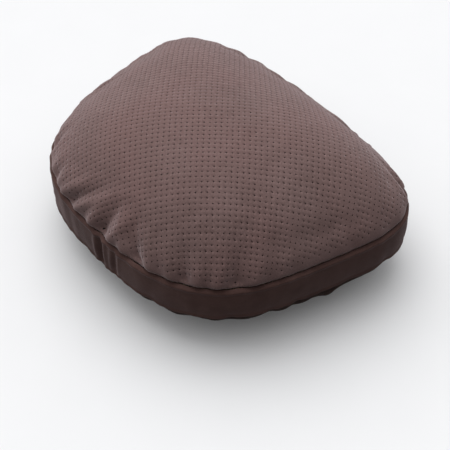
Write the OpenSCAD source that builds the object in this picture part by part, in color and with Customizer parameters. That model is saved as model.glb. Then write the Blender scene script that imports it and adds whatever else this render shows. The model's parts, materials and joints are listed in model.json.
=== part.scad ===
// Shiatsu neck massager: a plump cushion with a four-head kneading mechanism inside.
// It lies on its back. +Z is the massage side, +Y the wide edge, and the origin is the
// middle of the flat patch of the rear panel that it rests on. Millimetres.

/* [Cushion] */
// Half of the cushion's width, at the middle of its depth
half_w = 157; // [156:1:159]
// Half of the cushion's depth
half_d = 131; // [130:1:133]
// How much wider the +Y edge is than the middle, as a share
taper = 0.20; // [0.19:0.01:0.21]
// Squareness of the outline across its width
power_x = 2.8; // [2.7:0.1:3.0]
// Squareness of the outline along its depth
power_y = 3.7; // [3.6:0.1:4.0]
// Height of the rear seam over the table
rear_rise = 34; // [33:1:36]
// Height of the side band between its two seams
band_h = 38; // [37:1:40]
// Height of the dome over the front seam
front_rise = 64; // [63:1:66]
// How far the side band bulges
band_bulge = 4; // [4:0.5:5]
// Thickness of the cover cloth
cloth_t = 1.5; // [1.2:0.1:1.6]

/* [Massage rotors] */
// Distance from the middle to each rotor's axis
rotor_x = 58; // [58:1:58]
// Place of the rotors along the depth
rotor_y = -12; // [-13:1:-11]
// Radius of the circle that each head runs on
orbit_r = 32; // [31:0.5:32]
// Radius of a massage head
head_r = 22; // [21:0.5:22]
// Height of a massage head
head_h = 30; // [29:0.5:30]
// How much higher one head of a pair stands than the other
head_step = 6; // [5:0.5:6]

/* [Worm drive] */
// Gear module
gear_m = 1.3; // [1.3:0.1:1.3]
// Teeth of each worm wheel
wheel_teeth = 80; // [80:1:80]
// Height of the motor axis over the table
axis_z = 34; // [34:0.5:35]
// Radius of the motor's can
motor_r = 18; // [17.5:0.5:18]
// Length of the motor's can
motor_l = 52; // [50:1:52]

/* [Side controls] */
// Place of the control bezel along the depth
pod_y = -6; // [-8:1:-4]
// Travel of the power button
button_travel = 1.5; // [1:0.1:1.5]

/* [Hidden] */
$fn = 64;

LEFT = -1;
RIGHT = 1;
front_seam = rear_rise + band_h;      // height of the front seam
top_z = front_seam + front_rise;      // top of the dome
dome_power = 2.6;                     // how flat the dome's crown is
rear_flat = 0.55;                     // share of the outline that rests on the table
rear_power = 2.2;                     // how the rear panel curves up from the flat
ring_n = 48;                          // points round the cushion's outline
gap = 0.3;                            // air between one soft layer and the next

wheel_r = gear_m * wheel_teeth / 2;   // pitch radius of a worm wheel
worm_r = rotor_x - wheel_r;           // pitch radius of the worm
pitch = PI * gear_m;
addendum = 0.9 * gear_m;
dedendum = 1.15 * gear_m;
flank = tan(20);
tooth_half = (pitch / 2 - 0.45) / 2;  // half a tooth's width on the pitch line, with backlash
tip_half = tooth_half - addendum * flank;
root_half = tooth_half + dedendum * flank;
wheel_w = 5;                          // width of a wheel's toothed face

shaft_r = 4;                          // output shafts
motor_shaft_r = 1.6;
fit = 0.03;                           // radial air of a running fit
shell_floor = 11.5;                   // underside of the rear shell
shell_wall = 2.5;
split_z = 44;                         // where the two shells meet
shell_r = wheel_r + addendum + 1.4 + shell_wall;
bay_w = 30;                           // half width of the motor bay
bay_end = 94;
motor_y = 26;                         // front face of the motor
motor_end = motor_y + motor_l;
damper_t = 1.6;                       // thickness of the rubber ring round the motor
arm_z = 56;                           // underside of the rotor arms
arm_t = 6;
low_seat = arm_z + arm_t;             // top of the low pad
high_seat = low_seat + head_step;     // top of the high pad
bush_h = 10;
EARS = [[-101, -55], [101, -55], [-101, 31], [101, 31], [-34, 86], [34, 86]];

zip_r = 1000;                         // plan radius of the zip's path
zip_half = 5;                         // half of the zip's length, in degrees of that radius
zip_rest = 4.6;                       // where the slider rests, in degrees from the middle
zip_y = half_d + band_bulge + 0.6 - zip_r;
band_mid = rear_rise + band_h / 2;

pod_x = -(half_w + band_bulge) * (1 + taper * pod_y / (half_d + band_bulge));
pod_yaw = atan(taper * (half_w + band_bulge) / (half_d + band_bulge));
button_x = -12;
inlet_x = 16;
light_x = 2;
pod_boss_x = 25;
button_back = -6.1;                   // where the plunger meets the power button
switch_floor = -13.7;                 // inside floor of the push switch
plunger_low = switch_floor + button_travel + 0.4;

// ---- outline and soft layers ----

function signed_root(v, n) = sign(v) * pow(abs(v), 2 / n);

// A point of the cushion's outline: a superellipse, wider towards +Y.
function outline(t, s = 1, inset = 0) =
    let (u = signed_root(cos(t), power_x), v = signed_root(sin(t), power_y))
    [s * (half_w - inset) * (1 + taper * v) * u, s * (half_d - inset) * v];

function ring(p) = [for (i = [0 : ring_n - 1]) let (q = outline(360 * i / ring_n, p[0], p[1])) [q[0], q[1], p[2]]];

function flat(lists) = [for (l = lists) for (x = l) x];

// Faces that join each ring of n points to the next; first is the index of the first point.
function ring_faces(rings, first, n) = [for (k = [0 : rings - 2]) for (i = [0 : n - 1])
    let (j = (i + 1) % n, a = first + k * n) [a + i, a + n + i, a + n + j, a + j]];

// A solid whose section, a list of [share, inset, height], starts and ends on the Z axis.
module domed(top, section, bottom) {
    m = len(section);
    last = m * ring_n + 1;
    polyhedron(
        points = concat([[0, 0, top]], flat([for (p = section) ring(p)]), [[0, 0, bottom]]),
        faces = concat(
            [for (i = [0 : ring_n - 1]) [0, 1 + i, 1 + (i + 1) % ring_n]],
            ring_faces(m, 1, ring_n),
            [for (i = [0 : ring_n - 1]) [last, last - ring_n + (i + 1) % ring_n, last - ring_n + i]]));
}

// A ring-shaped solid with the same kind of section, closed on itself.
module hooped(section) {
    m = len(section);
    wrap = [for (i = [0 : ring_n - 1]) let (j = (i + 1) % ring_n, a = (m - 1) * ring_n) [a + i, i, j, a + j]];
    polyhedron(
        points = flat([for (p = section) ring(p)]),
        faces = concat(ring_faces(m, 0, ring_n), wrap));
}

function dome_z(s) = front_seam + front_rise * (1 - pow(s, dome_power));
function belly_z(s) = s <= rear_flat ? 0 : rear_rise * pow((s - rear_flat) / (1 - rear_flat), rear_power);
function bulge(k) = -band_bulge * (1 - k * k);

module front_panel() {
    shares = [0.3, 0.5, 0.65, 0.78, 0.88, 0.95, 1];
    color("#6e5654") domed(top_z,
        concat([for (s = shares) [s, 0, dome_z(s)]],
            [for (i = [len(shares) - 1 : -1 : 0]) let (s = shares[i]) [s, cloth_t * s, dome_z(s) - cloth_t]]),
        top_z - cloth_t);
}

module side_band() {
    steps = [-1, -0.5, 0, 0.5, 1];
    half = band_h / 2 - gap;
    color("#3f302f") difference() {
        hooped(concat([for (k = steps) [1, bulge(k), band_mid - k * half]],
            [for (k = [1, 0.5, 0, -0.5, -1]) [1, bulge(k) + cloth_t, band_mid - k * (half - cloth_t)]]));
        pod_frame() translate([0, 0, -12]) linear_extrude(20) stadium(66, 27);
    }
}

module rear_panel() {
    shares = [rear_flat, 0.65, 0.75, 0.84, 0.92, 1];
    m = len(shares);
    color("#3a2c2b") domed(cloth_t,
        concat([for (s = shares) [s, cloth_t * s, belly_z(s) + cloth_t]],
            [for (i = [m - 1 : -1 : 0]) [shares[i], 0, belly_z(shares[i])]]),
        0);
}

// Polyester wadding between the heads and the front panel.
module front_wadding() {
    outer = cloth_t + gap + 0.4;
    thick = 11;
    shares = [0.35, 0.6, 0.76, 0.86, 0.9];
    color("#e8e4da") domed(top_z - outer,
        concat([for (s = shares) [s, 2, dome_z(s) - outer]],
            [for (s = [0.89, 0.82, 0.7, 0.45]) [s, 2, dome_z(s) - outer - thick]]),
        top_z - outer - thick);
}

// Foam ring that fills the cushion round the mechanism.
module foam_surround() {
    color("#d9cfa6") difference() {
        hooped([[0.8, 0, 82], [0.9, 0, 71], [0.93, 2, 66], [0.955, 2, 73], [1, 3, 70], [1, 1.5, band_mid], [1, 3, 36],
            [0.97, 2, 33], [0.9, 1, 22.5], [0.84, 0, 16.5], [0.8, 0, 14]]);
        pod_frame() translate([-34, -16, -60]) cube([68, 32, 60]);
    }
}

module rear_foam() {
    color("#d9cfa6") domed(11.2, [[0.74, 0, 11.2], [0.72, 0, 7], [0.66, 0, 3.8], [0.55, 0, 1.8]], 1.8);
}

// ---- zip on the band's +Y side ----

// Puts children, modelled at the arc's +X end, at an angle from the middle of the zip's path.
module on_zip(angle) {
    translate([0, zip_y, 0]) rotate([0, 0, 90 + angle]) children();
}

module zip_tapes() {
    color("#2b2120") for (z = [band_mid - 11, band_mid + 1.2])
        on_zip(-zip_half) rotate_extrude(angle = 2 * zip_half) translate([zip_r, z]) square([0.9, 9.8]);
}

module zip_coil() {
    color("#241b1a") on_zip(-zip_half) rotate_extrude(angle = 2 * zip_half)
        translate([zip_r - 0.1, band_mid - 1.1]) square([1.9, 2.2]);
}

module zip_slider() {
    color("#8d8a86") on_zip(zip_rest) {
        translate([zip_r + 2.1, -4, band_mid - 4.5]) cube([1.4, 8, 9]);
        for (z = [band_mid - 4.5, band_mid + 3.3])
            translate([zip_r + 1.1, -4, z]) cube([1.2, 8, 1.2]);
        for (y = [-3.6, 2.6])
            translate([zip_r + 3.3, y, band_mid + 0.2]) cube([3.4, 1, 2.8]);
        translate([zip_r + 5.2, -3.6, band_mid + 1.6]) rotate([-90, 0, 0]) cylinder(h = 7.2, r = 0.7);
    }
}

module zip_pull() {
    color("#8d8a86") on_zip(zip_rest) difference() {
        union() {
            translate([zip_r + 5.2, -2.3, band_mid + 1.6]) rotate([-90, 0, 0]) cylinder(h = 4.6, r = 1.5);
            translate([zip_r + 4.5, -2.3, band_mid - 4]) cube([1.4, 4.6, 5.6]);
            translate([zip_r + 4.5, -4, band_mid - 22]) cube([1.4, 8, 18.5]);
        }
        translate([zip_r + 5.2, -3, band_mid + 1.6]) rotate([-90, 0, 0]) cylinder(h = 6, r = 0.75);
        translate([zip_r + 4, 0, band_mid - 18]) rotate([0, 90, 0]) cylinder(h = 3, r = 1.8);
    }
}

// ---- shells of the mechanism ----

// Plan of the shells: two wheel circles and the motor bay, grown by an amount.
module shell_plan(grow) {
    hull() for (x = [-rotor_x, rotor_x]) translate([x, rotor_y]) circle(shell_r + grow);
    translate([-bay_w - grow, rotor_y]) square([2 * (bay_w + grow), bay_end - rotor_y + grow]);
}

module ears(z, h) {
    for (e = EARS) translate([e[0], e[1], z]) cylinder(h = h, r = 5, $fn = 32);
}

module ear_holes(z, h, r) {
    for (e = EARS) translate([e[0], e[1], z]) cylinder(h = h, r = r, $fn = 32);
}

module along_y(y) {
    translate([0, y, axis_z]) rotate([-90, 0, 0]) children();
}

module rear_shell() {
    saddle_y = [motor_y + 6, motor_end - 9];
    color("#2d2d30") difference() {
        union() {
            difference() {
                translate([0, 0, shell_floor]) linear_extrude(split_z - shell_floor) shell_plan(0);
                translate([0, 0, shell_floor + shell_wall]) linear_extrude(split_z) shell_plan(-shell_wall);
            }
            for (x = [-rotor_x, rotor_x]) translate([x, rotor_y, shell_floor + 1]) cylinder(h = 15, r = 10);
            for (y = saddle_y) translate([-24, y - 2, shell_floor + 1]) cube([48, 4, axis_z - shell_floor - 2]);
            translate([-8, -41, shell_floor + 1]) cube([16, 8, axis_z + 6 - shell_floor]);
            ears(split_z - 14, 14);
        }
        for (x = [-rotor_x, rotor_x]) translate([x, rotor_y, 16.5]) cylinder(h = 20, r = 6.02);
        along_y(saddle_y[0] - 3) cylinder(h = 6, r = motor_r + 0.2);
        along_y(saddle_y[1] - 3) cylinder(h = 6, r = motor_r + damper_t + 0.2);
        along_y(-39) cylinder(h = 10, r = 4.02, $fn = 32);
        translate([-36, 76, 40]) rotate([0, 90, 0]) cylinder(h = 12, r = 3.6, $fn = 32);
        ear_holes(split_z - 11, 20, 1.52);
    }
}

module front_shell() {
    lid_z = split_z + 0.2;
    hump_z = axis_z + motor_r + damper_t + 1.8;
    color("#2d2d30") difference() {
        union() {
            translate([0, 0, lid_z]) linear_extrude(shell_wall) shell_plan(0);
            ears(lid_z, shell_wall);
            for (x = [-rotor_x, rotor_x]) translate([x, rotor_y, 43]) cylinder(h = 11.4, r = 11);
            translate([-bay_w, 21, lid_z]) cube([2 * bay_w, bay_end - 21, hump_z - lid_z]);
        }
        for (x = [-rotor_x, rotor_x]) translate([x, rotor_y, 40]) cylinder(h = 20, r = 6.02);
        translate([-bay_w + shell_wall, 21 + shell_wall, 30])
            cube([2 * (bay_w - shell_wall), bay_end - 21 - 2 * shell_wall, hump_z - 31.5]);
        translate([-8.3, -41.3, 30]) cube([16.6, 8.6, 11]);
        ear_holes(lid_z - 1, 8, 1.7);
    }
}

module shell_screws() {
    z = split_z + 0.2 + shell_wall;
    color("#9a9a9c") for (e = EARS) translate([e[0], e[1], 0]) difference() {
        union() {
            translate([0, 0, z]) cylinder(h = 2, r = 3, $fn = 32);
            translate([0, 0, z - 12]) cylinder(h = 12.5, r = 1.5, $fn = 32);
        }
        for (a = [0, 90]) translate([0, 0, z + 1.6]) rotate([0, 0, a]) cube([3.4, 0.8, 1.6], center = true);
    }
}

module bush(h, inner, outer) {
    difference() {
        cylinder(h = h, r = outer);
        translate([0, 0, -1]) cylinder(h = h + 2, r = inner);
    }
}

// Four plain bronze bushes: one below and one above each wheel.
module shaft_bushes() {
    color("#b08d57") for (x = [-rotor_x, rotor_x]) for (z = [16.5, 44.4])
        translate([x, rotor_y, z]) bush(bush_h, shaft_r + fit, 6);
}

module thrust_washers() {
    color("#c9c9c4") for (x = [-rotor_x, rotor_x])
        translate([x, rotor_y, 27.6]) bush(0.8, shaft_r + 0.1, 8.5);
}

// ---- motor ----

module motor_can() {
    color("#b9bcc0") difference() {
        union() {
            along_y(motor_y) cylinder(h = motor_l, r = motor_r);
            along_y(motor_y - 2.5) cylinder(h = 3, r = 5);
        }
        along_y(motor_y + 1.5) cylinder(h = motor_l, r = motor_r - 1.5);
        along_y(motor_y - 3) cylinder(h = 6, r = motor_shaft_r + fit, $fn = 32);
        for (x = [-12.5, 12.5]) translate([x, 0, 0]) along_y(motor_y - 1) cylinder(h = 4, r = 1.5, $fn = 32);
    }
}

module motor_end_cap() {
    color("#1f1f21") {
        along_y(motor_end + 0.1) bush(5, motor_shaft_r + fit, motor_r - 0.2);
        for (x = [-9, 7]) translate([x, motor_end + 5, axis_z - 2.5]) cube([2, 4, 5]);
    }
}

module motor_magnets() {
    color("#4a4a4d") for (a = [0, 180]) along_y(motor_y + 6) rotate([0, 0, a - 55])
        rotate_extrude(angle = 110) translate([13.4, 0]) square([3, 38]);
}

module motor_armature() {
    bore = motor_shaft_r + 0.02;
    color("#7a5a3a") {
        along_y(motor_y + 8) difference() {
            cylinder(h = 32, r = 12.8);
            translate([0, 0, -1]) cylinder(h = 34, r = bore);
            for (a = [0 : 72 : 288]) rotate([0, 0, a]) translate([7, -1.4, -1]) cube([8, 2.8, 34]);
        }
        along_y(motor_y + 42) bush(7, bore, 4.5);
    }
}

module motor_shaft() {
    color("#cfd2d6") along_y(-38.8) cylinder(h = motor_end + 4.5 + 38.8, r = motor_shaft_r);
}

module motor_bracket() {
    color("#8f9296") difference() {
        union() {
            translate([-16.5, motor_y - 1.6, 14.2]) cube([33, 1.5, 35]);
            translate([-16.5, motor_y - 9, 14.2]) cube([33, 8.9, 1.5]);
        }
        along_y(motor_y - 3) cylinder(h = 6, r = 5.1);
        for (x = [-12.5, 12.5]) translate([x, 0, 0]) along_y(motor_y - 3) cylinder(h = 6, r = 1.6, $fn = 32);
    }
}

module bracket_screws() {
    color("#9a9a9c") for (x = [-12.5, 12.5]) translate([x, 0, 0]) {
        along_y(motor_y - 3.2) cylinder(h = 1.6, r = 2.6, $fn = 32);
        along_y(motor_y - 2) cylinder(h = 5, r = 1.48, $fn = 32);
    }
}

module motor_damper() {
    color("#1b1b1b") along_y(motor_end - 13) bush(8, motor_r + 0.02, motor_r + damper_t);
}

module thermal_cutout() {
    color("#d8d4c8") translate([-8, motor_y + 16, axis_z - motor_r - 1.9]) cube([16, 7, 1.8]);
}

// ---- worm drive ----

turns = 8;                            // turns of the worm's thread
sides = 24;                           // flats round the worm
thread = [[-root_half, worm_r - dedendum], [-tip_half, worm_r + addendum],
    [tip_half, worm_r + addendum], [root_half, worm_r - dedendum]];
rows = 4 * turns;
thread_y = rotor_y - pitch * turns / 2;

// Point of a right-handed thread: row runs along the section, column round the axis.
function thread_point(row, column) =
    let (t = thread[row % 4], a = 360 * column / sides,
        y = thread_y + t[0] + pitch * (floor(row / 4) + column / sides))
    [t[1] * cos(a), y, axis_z - t[1] * sin(a)];

function circle_points(r, y) = [for (c = [0 : sides - 1])
    let (a = 360 * c / sides) [r * cos(a), y, axis_z - r * sin(a)]];

// Index of a thread point; the last four rows end in points of their own.
function at(row, column) = column < sides ? row * sides + column
    : row + 4 < rows ? (row + 4) * sides : rows * sides + row + 4 - rows;

module worm() {
    start = thread_y - root_half - 2;
    stop = thread_y + pitch * (turns + 1);
    bore = (motor_shaft_r + 0.02) / cos(180 / sides);
    base = worm_r - dedendum;
    p0 = rows * sides + 4;            // first point of the circle at the start
    p1 = p0 + sides;                  // circle at the stop
    p2 = p1 + sides;                  // bore at the start
    p3 = p2 + sides;                  // bore at the stop
    points = concat(
        [for (r = [0 : rows - 1]) for (c = [0 : sides - 1]) thread_point(r, c)],
        [for (r = [rows - 4 : rows - 1]) thread_point(r, sides)],
        circle_points(base, start), circle_points(base, stop),
        circle_points(bore, start), circle_points(bore, stop));
    helix = [for (r = [0 : rows - 2]) for (c = [0 : sides - 1])
        [at(r, c), at(r, c + 1), at(r + 1, c + 1), at(r + 1, c)]];
    first = [for (c = [0 : sides - 2]) [p0 + c, p0 + c + 1, at(0, c + 1), at(0, c)]];
    final = [for (c = [1 : sides - 1]) [at(rows - 1, c), at(rows - 1, c + 1), p1 + (c + 1) % sides, p1 + c]];
    first_edge = [p0 + sides - 1, p0, at(0, 0), at(3, 0), at(0, sides)];
    final_edge = [p1 + 1, p1, at(rows - 1, sides), at(rows - 4, sides), at(rows - 1, 0)];
    fans = [for (k = [0 : 3])
        each [[at(0, sides - 1), first_edge[k], first_edge[k + 1]], [at(rows - 1, 1), final_edge[k], final_edge[k + 1]]]];
    blunt_start = [[at(0, 0), at(1, 0), at(2, 0), at(3, 0)]];
    blunt_stop = [[at(rows - 1, sides), at(rows - 2, sides), at(rows - 3, sides), at(rows - 4, sides)]];
    ends = [for (c = [0 : sides - 1]) let (d = (c + 1) % sides)
        each [[p0 + d, p0 + c, p2 + c, p2 + d], [p1 + c, p1 + d, p3 + d, p3 + c], [p2 + d, p2 + c, p3 + c, p3 + d]]];
    color("#e9e6dc") polyhedron(points = points,
        faces = concat(helix, first, final, fans, blunt_start, blunt_stop, ends));
}

module worm_end_bush() {
    color("#b08d57") along_y(-39) bush(6, motor_shaft_r + fit, 4);
}

// Outline of a toothed wheel: four points a tooth.
function wheel_points(phase) = [for (i = [0 : wheel_teeth - 1])
    let (mid = phase + 360 * i / wheel_teeth, low = wheel_r - dedendum, high = wheel_r + addendum)
    for (p = [[low, -root_half], [high, -tip_half], [high, tip_half], [low, root_half]])
    let (a = mid + p[1] / p[0] * 180 / PI) p[0] * [cos(a), sin(a)]];

ring_seat = 44;                       // inradius of the twelve-sided seat between ring and carrier
seat_r = ring_seat / cos(15);

module gear_ring(side) {
    half_tooth = 180 / wheel_teeth;
    color("#efece2") translate([side * rotor_x, rotor_y, axis_z - wheel_w / 2]) linear_extrude(wheel_w)
        difference() {
            polygon(wheel_points(side == RIGHT ? half_tooth : 0));
            circle(seat_r, $fn = 12);
        }
}

module carrier(side) {
    bore = shaft_r + 0.02;
    color("#dcd8cc") translate([side * rotor_x, rotor_y, 0]) difference() {
        union() {
            translate([0, 0, axis_z - 2]) cylinder(h = 4, r = seat_r - 0.06, $fn = 12);
            translate([0, 0, 28.6]) cylinder(h = 14, r = 9);
        }
        translate([0, 0, 20]) cylinder(h = 40, r = bore);
        for (a = [0 : 60 : 300]) rotate([0, 0, a]) translate([27, 0, 20]) cylinder(h = 40, r = 8);
    }
}

module output_shaft(side) {
    color("#cfd2d6") translate([side * rotor_x, rotor_y, 16.6]) {
        cylinder(h = low_seat + 3 - 16.6, r = shaft_r);
        translate([0, 0, low_seat + 3 - 16.6]) cylinder(h = 0.6, r1 = shaft_r, r2 = shaft_r - 0.6);
    }
}

// Stepped arm that carries one high and one low head.
module rotor_arm(side) {
    color("#46464b") translate([side * rotor_x, rotor_y, 0]) difference() {
        union() {
            translate([-orbit_r, -9, arm_z]) cube([2 * orbit_r, 18, arm_t]);
            translate([0, 0, arm_z - 0.8]) cylinder(h = arm_t + 0.8, r = 12);
            translate([-side * orbit_r, 0, arm_z]) cylinder(h = arm_t + head_step, r = 12);
            translate([side * orbit_r, 0, arm_z]) cylinder(h = arm_t, r = 12);
        }
        translate([0, 0, arm_z - 2]) cylinder(h = 12, r = shaft_r + 0.02);
        for (x = [-orbit_r, orbit_r]) translate([x, 0, arm_z - 1]) cylinder(h = 16, r = 2.52);
    }
}

module arm_nut(side) {
    color("#9a9a9c") translate([side * rotor_x, rotor_y, low_seat + 0.1]) difference() {
        cylinder(h = 2.6, r = 7.5, $fn = 6);
        translate([0, 0, -1]) cylinder(h = 5, r = shaft_r + 0.02);
    }
}

// Shoulder screws that the heads turn on.
module head_axles(side) {
    shoulder = 17;
    color("#cfd2d6") translate([side * rotor_x, rotor_y, 0])
        for (p = [[-side * orbit_r, high_seat], [side * orbit_r, low_seat]]) translate([p[0], 0, p[1]]) {
            translate([0, 0, -5.5]) cylinder(h = 6, r = 2.5);
            cylinder(h = shoulder, r = shaft_r);
            translate([0, 0, shoulder]) cylinder(h = 2.2, r = 6.5);
        }
}

// Places a part at a head's own seat.
module at_head(side, high) {
    x = high ? -side * orbit_r : side * orbit_r;
    translate([side * rotor_x + x, rotor_y, (high ? high_seat : low_seat) + 0.4]) children();
}

// Massage head: a rubber-clad dome with a bore for its axle and a pocket for the axle's head.
module head(side, high) {
    skirt = head_h - head_r;
    color("#5b5b60") at_head(side, high) difference() {
        rotate_extrude() difference() {
            union() {
                translate([0, skirt]) circle(head_r);
                translate([0, 1.5]) square([head_r, skirt - 1.5]);
                square([head_r - 1.5, skirt]);
            }
            translate([-2 * head_r, -head_r]) square([2 * head_r, 3 * head_r]);
            translate([-1, -head_r]) square([head_r + 2, head_r]);
        }
        translate([0, 0, -1]) cylinder(h = 40, r = shaft_r + fit);
        translate([0, 0, 16.2]) cylinder(h = 40, r = 7.2);
    }
}

// Cap that closes the pocket and follows the head's dome.
module head_cap(side, high) {
    skirt = head_h - head_r;
    color("#77777c") at_head(side, high) rotate_extrude() intersection() {
        translate([0, skirt]) circle(head_r);
        translate([0, 19.4]) square([7.15, 20]);
    }
}

// ---- side controls ----

// Frame with its origin on the band's skin, X along the band, Y up and Z outwards.
module pod_frame() {
    translate([pod_x, pod_y, band_mid]) rotate([90, 0, pod_yaw - 90]) children();
}

module stadium(w, h) {
    hull() for (x = [h / 2 - w / 2, w / 2 - h / 2]) translate([x, 0]) circle(h / 2);
}

module side_bezel() {
    color("#1e1e20") pod_frame() difference() {
        union() {
            translate([0, 0, 0.1]) linear_extrude(1.9) stadium(62, 24);
            translate([0, 0, -2.6]) linear_extrude(2.8) stadium(57, 19);
            for (x = [-pod_boss_x, pod_boss_x]) translate([x, 0, -12]) cylinder(h = 10, r = 2.6, $fn = 32);
        }
        translate([button_x, 0, -4]) linear_extrude(10) stadium(17.6, 12.6);
        translate([inlet_x, 0, -1]) cylinder(h = 5, r = 5.5);
        translate([inlet_x, 0, -4]) cylinder(h = 5, r = 4.6);
        translate([light_x, 0, -4]) cylinder(h = 8, r = 1.6, $fn = 32);
        for (x = [-pod_boss_x, pod_boss_x]) translate([x, 0, -13]) cylinder(h = 8, r = 1.02, $fn = 32);
    }
}

module power_button() {
    color("#55555a") pod_frame() translate([button_x, 0, 0]) {
        translate([0, 0, -3]) linear_extrude(6) stadium(17, 12);
        translate([0, 0, -4.2]) linear_extrude(1.3) stadium(18.6, 14.6);
        translate([0, 0, -6]) cylinder(h = 2, r = 2, $fn = 32);
    }
}

module status_light() {
    color("#c9e2ff") pod_frame() translate([light_x, 0, -13.9]) cylinder(h = 15.6, r = 1.5, $fn = 32);
}

module push_switch() {
    color("#222224") pod_frame() translate([button_x, 0, switch_floor - 0.6]) difference() {
        translate([-4, -4, 0]) cube([8, 8, 6]);
        translate([-1.8, -1.8, 0.6]) cube([3.6, 3.6, 8]);
    }
}

module switch_plunger() {
    color("#d9d9d9") pod_frame() translate([button_x - 1.6, -1.6, plunger_low])
        cube([3.2, 3.2, button_back - plunger_low]);
}

module dc_jack() {
    color("#19191b") pod_frame() translate([inlet_x, 0, 0]) difference() {
        translate([0, 0, -14.3]) cylinder(h = 13.2, r = 4.5);
        difference() {
            translate([0, 0, -10.5]) cylinder(h = 12, r = 2.85);
            translate([0, 0, -11]) cylinder(h = 9, r = 1.05, $fn = 32);
        }
    }
}

module control_board() {
    color("#1f5b34") pod_frame() difference() {
        translate([-20.4, -9, -16]) cube([40.8, 18, 1.6]);
        translate([light_x, 0, -18]) cylinder(h = 6, r = 0.8, $fn = 32);
    }
}

module board_parts() {
    color("#2a2a2c") pod_frame() {
        translate([-14, -5, -18]) cube([9, 8, 1.9]);
        translate([14, 2, -21]) cylinder(h = 4.9, r = 3.2, $fn = 32);
        translate([-3, -7.5, -20.5]) cube([8, 5, 4.4]);
        translate([6, -5, -17.4]) cube([3, 2, 1.3]);
    }
}

module pod_housing() {
    color("#2d2d30") pod_frame() difference() {
        union() {
            difference() {
                translate([0, 0, -24]) linear_extrude(20.9) stadium(60, 23);
                translate([0, 0, -22.4]) linear_extrude(22) stadium(57, 20);
            }
            for (x = [-pod_boss_x, pod_boss_x]) translate([x, 0, -23]) cylinder(h = 10.8, r = 2.6, $fn = 32);
        }
        for (x = [-pod_boss_x, pod_boss_x]) translate([x, 0, 0]) {
            translate([0, 0, -25]) cylinder(h = 20, r = 1.2, $fn = 32);
            translate([0, 0, -25]) cylinder(h = 4, r = 2.1, $fn = 32);
        }
        translate([0, 5, -25]) cylinder(h = 4, r = 2.6, $fn = 32);
    }
}

module pod_screws() {
    color("#9a9a9c") pod_frame() for (x = [-pod_boss_x, pod_boss_x]) translate([x, 0, -23]) {
        cylinder(h = 1.8, r = 2, $fn = 32);
        cylinder(h = 17, r = 1, $fn = 32);
    }
}

// ---- leads from the control board to the motor ----

lead_r = 0.9;
lead_sides = 8;
// Middle of the pair's route, from the pod's back, round the left wheel's wall, to the motor bay.
LEAD = [[-138, 0, 58], [-133, 2, 57], [-127, 6, 54], [-122, 14, 50], [-121, 26, 46], [-117, 40, 43],
    [-106, 54, 41], [-90, 64, 40], [-70, 71, 40], [-52, 75, 40], [-40, 76, 40], [-24, 76.5, 40]];
// Ends of the two leads, at the motor's two terminals.
LEAD_ENDS = [[[-23.5, 80, 39], [-21, 84.4, 37], [-15, 86, 35], [-9.2, 86, 34]],
    [[-23.5, 82, 43], [-17, 88.6, 42.5], [0, 89.2, 42], [8, 88.4, 39.6], [8, 87.4, 37.6]]];

function unit(v) = v / norm(v);
function heading(route, i) = unit(route[min(i + 1, len(route) - 1)] - route[max(i - 1, 0)]);

// A round tube along a route.
module tube(route, r) {
    m = len(route);
    points = flat([for (i = [0 : m - 1]) let (d = heading(route, i), side = unit(cross(d, [0, 0, 1])), up = cross(side, d))
        [for (k = [0 : lead_sides - 1]) let (a = 360 * k / lead_sides) route[i] + r * (cos(a) * side + sin(a) * up)]]);
    polyhedron(points = points, faces = concat(ring_faces(m, 0, lead_sides),
        [[for (k = [0 : lead_sides - 1]) k]], [[for (k = [lead_sides - 1 : -1 : 0]) (m - 1) * lead_sides + k]]));
}

module motor_leads() {
    color("#8c1d18") for (k = [0, 1]) {
        side_step = (k == 0 ? -1 : 1) * [0, 0, 1.05];
        tube(concat([for (p = LEAD) p + side_step], LEAD_ENDS[k]), lead_r);
    }
}

module wire_grommet() {
    color("#1b1b1b") translate([-bay_w + shell_wall / 2, 76, 40]) rotate([0, 90, 0]) rotate_extrude()
        polygon([[2.4, -2.4], [4.8, -2.4], [4.8, -1.35], [3.5, -1.35], [3.5, 1.35], [4.8, 1.35], [4.8, 2.4], [2.4, 2.4]]);
}

front_panel();
side_band();
rear_panel();
front_wadding();
foam_surround();
rear_foam();
zip_tapes();
zip_coil();
zip_slider();
zip_pull();
rear_shell();
front_shell();
shell_screws();
shaft_bushes();
thrust_washers();
motor_can();
motor_end_cap();
motor_magnets();
motor_armature();
motor_shaft();
motor_bracket();
bracket_screws();
motor_damper();
thermal_cutout();
worm();
worm_end_bush();
gear_ring(LEFT);  // left_gear_ring
carrier(LEFT);  // left_carrier
output_shaft(LEFT);  // left_output_shaft
rotor_arm(LEFT);  // left_rotor_arm
arm_nut(LEFT);  // left_arm_nut
head_axles(LEFT);  // left_head_axles
gear_ring(RIGHT);  // right_gear_ring
carrier(RIGHT);  // right_carrier
output_shaft(RIGHT);  // right_output_shaft
rotor_arm(RIGHT);  // right_rotor_arm
arm_nut(RIGHT);  // right_arm_nut
head_axles(RIGHT);  // right_head_axles
head(LEFT, true);  // left_high_head
head_cap(LEFT, true);  // left_high_cap
head(LEFT, false);  // left_low_head
head_cap(LEFT, false);  // left_low_cap
head(RIGHT, true);  // right_high_head
head_cap(RIGHT, true);  // right_high_cap
head(RIGHT, false);  // right_low_head
head_cap(RIGHT, false);  // right_low_cap
side_bezel();
power_button();
status_light();
push_switch();
switch_plunger();
dc_jack();
control_board();
board_parts();
pod_housing();
pod_screws();
motor_leads();
wire_grommet();
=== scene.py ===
"""The looks of a plump shiatsu neck massager: its sewn cover, its zip and every material.

The cushion lies on its back with +Z up. Lengths are in metres unless a name ends in _mm.
"""
import json
import math
import random

import bpy
import numpy as np
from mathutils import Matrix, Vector
from mathutils.geometry import delaunay_2d_cdt
from mathutils.kdtree import KDTree


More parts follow.
